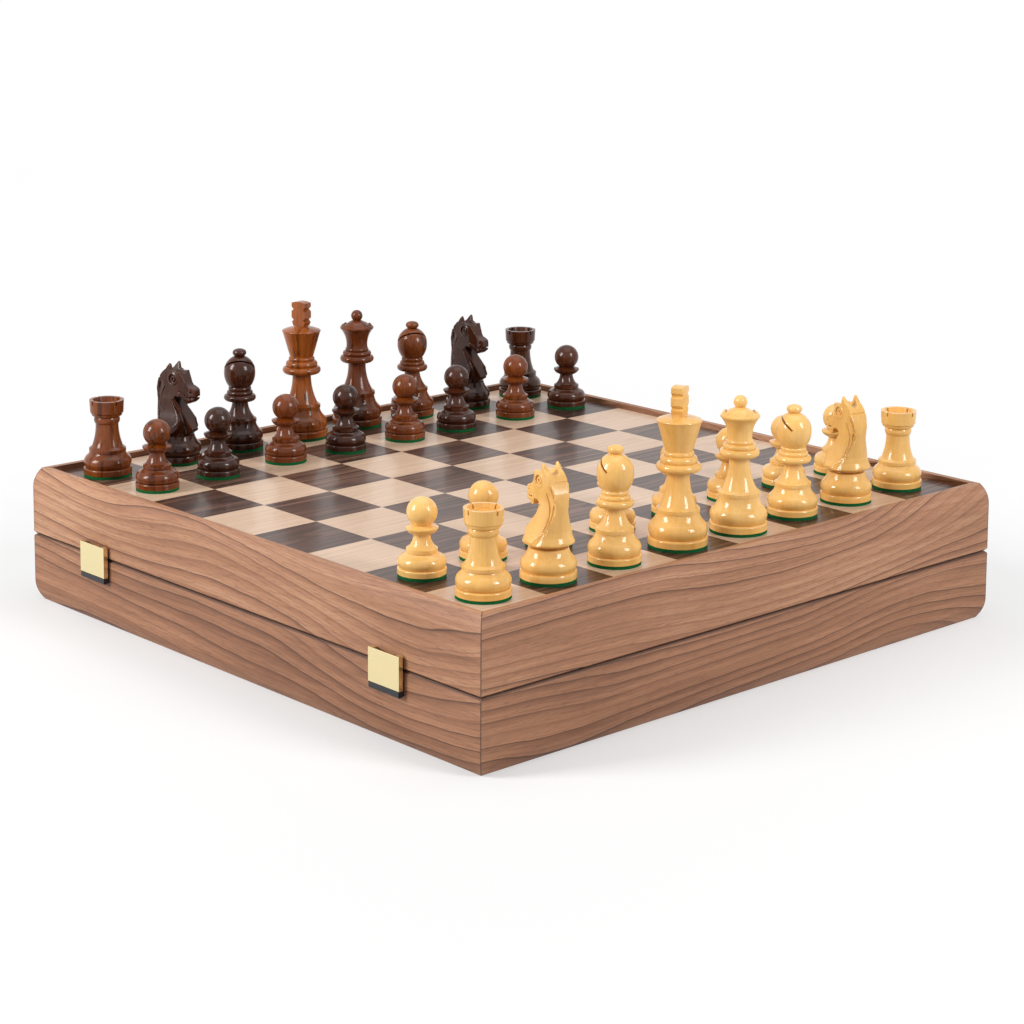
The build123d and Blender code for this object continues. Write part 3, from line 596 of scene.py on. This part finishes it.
# The edge where the flat cheek and neck end and the chest is cut back, from the jaw down to the foot.
CHEEK_EDGE = eased([(-0.4, 39.6), (2.6, 35.6), (5.8, 31.2), (7.8, 27.0), (8.2, 23.6), (6.8, 20.8), (5.4, 17.6)], 3)

horse = sawn_board([(x, 0, z) for x, z in SIDE_VIEW], (0, 30, 0))
mirrored = [(-y, z) for y, z in reversed(FRONT_VIEW[:-1])]
work(horse, sawn_board([(0, y, z) for y, z in FRONT_VIEW + mirrored], (60, 0, 0)), "INTERSECT")
print("sawn block:", len(horse.data.polygons), "faces")

# %% [markdown]
# The block is still as wide at the nose as at the cheeks. Two saw cuts narrow the muzzle, and two more make the chest
# a wedge with a narrow flat front.

# %% Chest and muzzle
MUZZLE = [(4.6, 5.8), (8.4, 3.9), (11.2, 3.1), (13.2, 3.5), (15.2, 3.1), (18.0, 2.2), (18.0, 12.0), (4.6, 12.0)]
for side in (-1, 1):
    chest_front = [(x, side * 10, z) for x, z in CHEEK_EDGE + [(21.0, 17.6), (21.0, 39.6)]]
    chest_cut = sawn_board(chest_front, (0, 16, 0))
    wedge = [(-6.0, 12.0), (-2.0, 5.2), (14.5, 2.6), (22.0, 2.6), (22.0, -4.0), (-6.0, -4.0)]
    work(chest_cut, sawn_board([(x, side * y, 30) for x, y in wedge], (0, 0, 60)))
    work(horse, chest_cut)
    work(horse, sawn_board([(x, side * y, 48) for x, y in MUZZLE], (0, 0, 22)))

print("muzzle and chest cut:", len(horse.data.polygons), "faces")

# %% [markdown]
# What the lathe would take off is a block with the bust's round form cut out of it. It is taken off behind and beside
# the middle. The front stays as sawn, where the chest is narrower than the foot anyway.

# %% Round bust
BUST = [(0, 10), (10.3, 10), (10.3, 18.6), (13.3, 20.1), (13.6, 20.7), (13.2, 21.8), (12.2, 24.2), (11.8, 27.0)]
BUST += [(12.0, 31.0), (12.4, 36.0), (12.9, 41.0), (13.1, 46.0), (13.1, 72.0), (0, 72)]
MEET = 0.3  # the turned parts behind and in front meet here
OUT = 30  # well outside the block
CHEST = 4.5  # half the width that stays as sawn
BACK_HALF = [(MEET, OUT), (-OUT, OUT), (-OUT, -OUT), (MEET, -OUT)]
FRONT_LEFT, FRONT_RIGHT = (
    [(MEET, side * OUT), (OUT, side * OUT), (OUT, side * CHEST), (MEET, side * CHEST)] for side in (1, -1)
)
for corners, low, high in ((BACK_HALF, 10, 70), (FRONT_LEFT, 10, 29), (FRONT_RIGHT, 10, 29)):
    waste = sawn_board([(x, y, (low + high) / 2) for x, y in corners], (0, 0, high - low))
    work(waste, spun(BUST))
    work(horse, waste)
print("rough horse:", len(horse.data.polygons), "faces")

# %% [markdown]
# The gouge work is the same on both sides of the head. First comes a long hollow behind the cheek, which leaves a
# narrow crowned strip down the back. Mane strokes and the crease at the cheek's edge lie in that hollow, so the depth
# of its skin is worked out from the hollow's own line, and every stroke is laid a little below the skin.

# %% Hollow and mane
# The hollow's middle line as it would be on the left side: it dies out at the top and at the bust's rim.
HOLLOW = [(-6.0, 15.2, 56.0), (-7.4, 14.6, 52.0), (-9.9, 13.1, 45.3), (-13.8, 12.5, 39.0), (-12.0, 14.9, 32.5)]
HOLLOW += [(-10.0, 17.6, 26.5), (-8.6, 20.6, 22.0), (-8.0, 22.6, 18.0)]
HOLLOW_RADIUS = 9.0
MANE = [
    [(-4.6, 55.6), (-6.0, 51.0), (-7.7, 46.6), (-9.6, 43.0)],
    [(-6.6, 54.8), (-8.0, 50.8), (-9.6, 46.6), (-11.2, 42.6)],
    [(-10.3, 41.4), (-10.4, 36.0), (-9.5, 31.5), (-8.6, 26.4)],
]
CREASE = [(-2.6, 57.0), (-3.4, 52.0), (-4.6, 47.5), (-6.8, 43.5), (-8.5, 39.5), (-8.6, 34.5), (-7.7, 30.3)]
CREASE += [(-6.9, 27.0)]
STROKE_RADIUS, STROKE_DEPTH, CREASE_DEPTH = 0.5, 0.5, 0.4
WIDTHS = [(z, y) for y, z in FRONT_VIEW[1:-4]]


def half_width(z):
    """Half the block's width at a height, in millimetres."""
    for (z0, y0), (z1, y1) in zip(WIDTHS, WIDTHS[1:]):
        if z0 <= z <= z1:
            return y0 + (y1 - y0) * (z - z0) / (z1 - z0)
    return WIDTHS[0][1] if z < WIDTHS[0][0] else WIDTHS[-1][1]


def skin_at(x, z):
    """How far from the middle the wood's surface is beside the mane, in millimetres."""
    for (x0, y0, z0), (x1, y1, z1) in zip(HOLLOW, HOLLOW[1:]):
        if z1 <= z <= z0:
            share = (z0 - z) / (z0 - z1)
            aside = x - (x0 + (x1 - x0) * share)
            return min(half_width(z), y0 + (y1 - y0) * share - sqrt(max(0.0, HOLLOW_RADIUS**2 - aside**2)))
    return half_width(z)


def carve_mane(side):
    """Cuts the hollow, the mane strokes and the crease on one side, -1 or 1."""
    work(horse, gouge([(x, side * y, z) for x, y, z in HOLLOW], HOLLOW_RADIUS, 12))
    for stroke in MANE:
        work(horse, gouge([(x, side * (skin_at(x, z) - STROKE_DEPTH), z) for x, z in stroke], STROKE_RADIUS, 1))
    work(horse, gouge([(x, side * (skin_at(x, z) - CREASE_DEPTH), z) for x, z in CREASE], STROKE_RADIUS, 1))


print("skin beside the mane, from the middle:", [round(skin_at(x, z), 1) for x, z in CREASE])

# %% [markdown]
# The eye is a raised ring with a groove inside it and a drilled pupil. A short drill hole with a curved wing makes the
# nostril, and a thin line along the cheek draws the mouth on.

# %% Eyes and nostrils
EYE_X, EYE_Z = 1.4, 52.1
EYE_OUT = 5.1  # how far the eye's ring is from the middle
EYE_RINGS = ((3.2, 0.6, "UNION"), (2.3, 0.55, "DIFFERENCE"))
NOSTRIL = [(13.7, 2.6, 44.4), (14.0, 3.8, 44.7)]
WING = [(13.4, 46.4), (11.9, 46.0), (11.2, 44.6), (11.6, 43.0), (12.8, 42.4)]
JAW_LINE = [(9.8, 41.8), (8.6, 43.4), (6.4, 44.4), (4.2, 44.2)]
PUPIL = (4.2, 6.5)  # the drill's start and end, from the middle
PUPIL_RADIUS, NOSTRIL_RADIUS, WING_RADIUS, JAW_RADIUS = 0.75, 0.75, 0.42, 0.4


def carve_face(side):
    """Cuts one eye, one nostril and the line behind the mouth, on side -1 or 1."""
    for major, minor, operation in EYE_RINGS:
        put_down()
        bpy.ops.mesh.primitive_torus_add(
            major_radius=major * MM,
            minor_radius=minor * MM,
            major_segments=36,
            minor_segments=10,
            location=Vector((EYE_X, side * EYE_OUT, EYE_Z)) * MM,
            rotation=(pi / 2, 0, 0),
        )
        bpy.ops.object.transform_apply()
        work(horse, bpy.context.object, operation)
    work(horse, gouge([(EYE_X, side * y, EYE_Z) for y in PUPIL], PUPIL_RADIUS, 2))
    work(horse, gouge([(x, side * y, z) for x, y, z in NOSTRIL], NOSTRIL_RADIUS, 2))
    work(horse, gouge([(x, side * 3.35, z) for x, z in WING], WING_RADIUS, 1))
    # The cheek widens backwards from the muzzle, and the line follows it.
    work(horse, gouge([(x, side * (3.6 + 0.35 * (9.8 - x)), z) for x, z in JAW_LINE], JAW_RADIUS, 1))


for side in (-1, 1):
    carve_mane(side)
    carve_face(side)
print("horse with mane and face:", len(horse.data.polygons), "faces")

# %% [markdown]
# Three cuts are left: the mouth is sawn through from side to side, a line is scratched across the back below the ears,
# and one more down each side of the chest, along the wedge.

# %% Mouth, back line and chest lines
MOUTH = [(10.4, 41.4), (12.0, 41.0), (16.5, 41.6), (16.5, 42.3), (12.0, 41.7), (10.4, 42.0)]
work(horse, sawn_board([(x, 0, z) for x, z in MOUTH], (0, 20, 0)))
BACK_LINE = [(-9.2, -7, 52.5), (-9.2, 0, 52.5), (-9.2, 7, 52.5)]
work(horse, gouge(BACK_LINE, 0.55, 1))
CHEST_LINE = [(3.6, 30.6), (6.4, 27.2), (9.6, 22.4), (10.6, 19.0)]
for side in (-1, 1):
    work(horse, gouge([(x, side * (5.1 - 0.155 * (x + 2)), z) for x, z in CHEST_LINE], 0.35, 1))
print("carved horse:", len(horse.data.polygons), "faces")

# %% [markdown]
# Sanding: a voxel remesh gives an even skin, and a smoothing step rounds every arris by a few tenths of a
# millimetre, which catches the light like a hand-finished edge.

# %% Sanding
GRIT = 0.29  # size of a voxel: finer would go past the faces that a piece may have

put_down()
bpy.context.view_layer.objects.active = horse
horse.select_set(True)
skin = horse.modifiers.new("skin", "REMESH")
skin.mode, skin.voxel_size = "VOXEL", GRIT * MM
bpy.ops.object.modifier_apply(modifier=skin.name)
sanding = horse.modifiers.new("sanding", "SMOOTH")
sanding.factor, sanding.iterations = 0.5, 1
bpy.ops.object.modifier_apply(modifier=sanding.name)
print("sanded horse:", len(horse.data.polygons), "faces")

# %% [markdown]
# The foot is turned: half its outline is spun round the upright axis, from the felt disc over the plinth and the bulb
# to the neck, where a thin gap parts it from the bust. The felt starts a hair above the board, so that the two never
# share a plane. The horse is turned the way this knight looks and set on the foot. Every knight stands where he was
# put down, some millimetres off the middle of his square.

# %% Four knights
FOOT = [(0, 0.02), (14.5, 0.02), (14.58, 1.8), (14.8, 1.85), (14.8, 4.5), (14.43, 5.28), (13.47, 5.5)]
FOOT += eased([(13.47, 5.5), (14.3, 6.95), (14.58, 8.58), (14.1, 10.7), (12.73, 12.6)], 3)[1:]
FOOT += eased([(12.73, 12.6), (11.7, 13.9), (10.9, 15.5), (10.4, 17.2)], 3)[1:]
FOOT += [(10.4, 17.5), (7.8, 17.7), (7.8, 19.4), (0, 19.4)]
SHARP_EDGE = 48.0  # degrees, above which an edge stays sharp
# Where each knight stands, x and y in millimetres, and how far he is turned round, in degrees.
KNIGHTS = {
    "white_knight_front": (166.25, -123.35, 170.0),
    "white_knight_back": (162.85, 114.85, 168.0),
    "black_knight_front": (-165.75, -118.75, 14.0),
    "black_knight_back": (-166.75, 119.25, 4.0),
}

for name, (x, y, turn) in KNIGHTS.items():
    foot = spun(FOOT)
    head = horse.copy()
    head.data = horse.data.copy()
    bpy.context.scene.collection.objects.link(head)
    put_down()
    head.select_set(True)
    foot.select_set(True)
    bpy.context.view_layer.objects.active = foot
    bpy.ops.object.join()
    knight = bpy.context.object
    spot = Matrix.Translation((x * MM, y * MM, BOARD_TOP))
    knight.data.transform(spot @ Matrix.Rotation(radians(turn), 4, "Z"))
    knight.name = f"carved_{name}"
    bpy.ops.object.shade_smooth_by_angle(angle=radians(SHARP_EDGE))
    wood = "boxwood" if name.startswith("white") else "rosewood"
    dress(boxwood if wood == "boxwood" else rosewoods["dark"], knight)
    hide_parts(name)
    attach(knight, f"{name}_body")
    print(knight.name, len(knight.data.polygons), "faces")
bpy.data.objects.remove(horse)

# %% [markdown]
# The picture is taken from in front of the corner between the latches and the boxwood men, a little above the board,
# with a long lens. The men stand nearly upright to the edges of the picture, as they do when a camera is held almost
# level and its lens is shifted down. The place was worked out from the corners of the squares and the men's axes.

# %% Camera
camera_data = bpy.data.cameras.new("camera")
camera_data.lens = 87.726
camera_data.sensor_width = 36.0
camera_data.shift_x = 0.05844
camera_data.shift_y = -0.26936
camera_data.clip_start = 0.05
camera_data.clip_end = 60.0
camera = bpy.data.objects.new("camera", camera_data)
bpy.context.scene.collection.objects.link(camera)
right = Vector((0.661555, 0.749895, 0.001576))
up = Vector((-0.112411, 0.097091, 0.988907))
back = Vector((0.741423, -0.654394, 0.148527))
turned = Matrix((right, up, back)).transposed().to_4x4()
camera.matrix_world = Matrix.Translation((1.05657, -0.97489, 0.43959)) @ turned
bpy.context.scene.camera = camera
bpy.context.scene.view_settings.view_transform = "Standard"
print("camera at", [round(c, 3) for c in camera.location])

# %% [markdown]
# The table is plain white, and it takes the men's and the case's soft shadow. Its paint alone would look grey at the
# edges, because the lamps light it less out there. So it shows a little light of its own to the camera and to mirrors,
# just as much as is missing to white at that distance from the brightest spot, and none of it lights the case.

# %% White table
SEEN = ("Is Camera Ray", "Is Glossy Ray", "Is Transmission Ray")
FLOOR_PAINT = 0.5
FLOOR_LEVEL = 1.01  # white, with a hair to spare
ROOM_ON_FLOOR = 0.096  # what the paint sends back of the room's light
LAMPS_ON_FLOOR = 0.56  # and of the lamps' light at the brightest spot
BRIGHT_SPOT = (0.2, -0.4)
LAMP_REACH = 1.4  # where the lamps' light has fallen to half

floor_finish = Finish("white_table", Roughness=0.9, Specular_IOR_Level=0.0)
direct, mirrored, through = (floor_finish.add("ShaderNodeLightPath", output=ray) for ray in SEEN)
_, x, y, _ = floor_finish.place()
away = ((x - BRIGHT_SPOT[0]) ** 2.0 + (y - BRIGHT_SPOT[1]) ** 2.0) / LAMP_REACH**2
missing = FLOOR_LEVEL - ROOM_ON_FLOOR - LAMPS_ON_FLOOR * (away + 1.0) ** -1.0
floor_finish.set(
    Base_Color=(FLOOR_PAINT,) * 3,
    Emission_Color=missing * direct.most(mirrored).most(through),
    Emission_Strength=1.0,
)
bpy.ops.mesh.primitive_plane_add(size=60.0, location=(0, 0, -0.0002))
table_top = bpy.context.object
table_top.name = "table_top"
table_top.data.materials.append(floor_finish.material)
print("white table:", [round(c, 1) for c in table_top.dimensions], "m")

# %% [markdown]
# The room is white too: what the camera sees directly, or in a mirror or glass, is white of strength 1, while the
# light that it gives is much weaker, so that shadows keep their depth.

# %% Room
room = bpy.data.worlds.new("room")
bpy.context.scene.world = room
room.use_nodes = True
tree = room.node_tree
backdrop = tree.nodes["Background"]
backdrop.inputs["Color"].default_value = (1.0, 1.0, 1.0, 1.0)
path = tree.nodes.new("ShaderNodeLightPath")
ROOM_LIGHT = 0.26
WHITE = 1.0
level = tree.nodes.new("ShaderNodeMapRange")
level.inputs["To Min"].default_value = ROOM_LIGHT
level.inputs["To Max"].default_value = WHITE
seen = path.outputs[SEEN[0]]
for ray in SEEN[1:]:
    either = tree.nodes.new("ShaderNodeMath")
    either.operation = "MAXIMUM"
    tree.links.new(seen, either.inputs[0])
    tree.links.new(path.outputs[ray], either.inputs[1])
    seen = either.outputs[0]
tree.links.new(seen, level.inputs["Value"])
tree.links.new(level.outputs["Result"], backdrop.inputs["Strength"])
print("room:", ROOM_LIGHT, "on the object,", WHITE, "to the camera")

# %% [markdown]
# Two tall lamps stand left and right like windows, which gives every man his two soft highlights, and a wide one above
# keeps the board even. All three look at the middle of the board.


# %% Lamps
def lamp(name, place, aim, size, power):
    """A soft rectangular lamp that looks at a point."""
    data = bpy.data.lights.new(name, "AREA")
    data.shape = "RECTANGLE"
    data.size, data.size_y = size
    data.energy = power
    thing = bpy.data.objects.new(name, data)
    bpy.context.scene.collection.objects.link(thing)
    thing.location = place
    thing.rotation_mode = "QUATERNION"
    thing.rotation_quaternion = (Vector(aim) - Vector(place)).to_track_quat("-Z", "Y")
    print(name, power, "W")


BOARD_MIDDLE = (0.0, 0.0, 0.08)
WINDOW = (0.55, 0.9)
lamp("left_window", (-0.55, -1.55, 0.95), BOARD_MIDDLE, WINDOW, 30.0)
lamp("right_window", (1.75, 0.35, 1.0), BOARD_MIDDLE, WINDOW, 24.0)
lamp("overhead", (0.1, 0.2, 1.9), BOARD_MIDDLE, (1.6, 1.6), 10.0)
